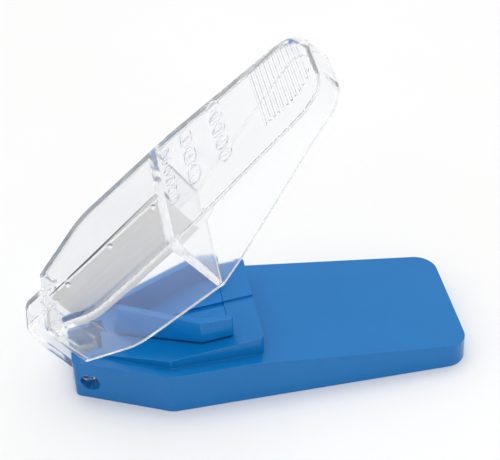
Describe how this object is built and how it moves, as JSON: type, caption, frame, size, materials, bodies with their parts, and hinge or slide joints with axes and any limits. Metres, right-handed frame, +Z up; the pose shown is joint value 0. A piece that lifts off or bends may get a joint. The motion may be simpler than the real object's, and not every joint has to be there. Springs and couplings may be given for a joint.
{
  "type": "pill splitter",
  "caption": "Pocket tablet splitter: wedge-shaped base with a V-shaped pill holder on a raised platform, and a clear hinged lid that carries a steel blade.",
  "frame": {"origin": "middle of the base's underside, on the surface it stands on", "axes": "+X from the hinge to the free end, +Y across to the far side, +Z up"},
  "size_m": [0.0998, 0.036, 0.0784],
  "materials": {
    "base_plastic": "satin moulded blue plastic",
    "holder_plastic": "satin moulded blue plastic",
    "clear_plastic": "clear polished plastic",
    "blade_steel": "satin ground steel"
  },
  "bodies": {
    "base": {"base": "base_plastic", "pill_holder": "holder_plastic"},
    "lid": {"lid": "clear_plastic", "blade": "blade_steel"}
  },
  "joints": [
    {"name": "lid_hinge", "type": "hinge", "parent": "base", "child": "lid", "pos_m": [-0.042, 0, 0.0048], "axis": [0, -1, 0], "range_deg": [-35.6, 48.4]}
  ]
}
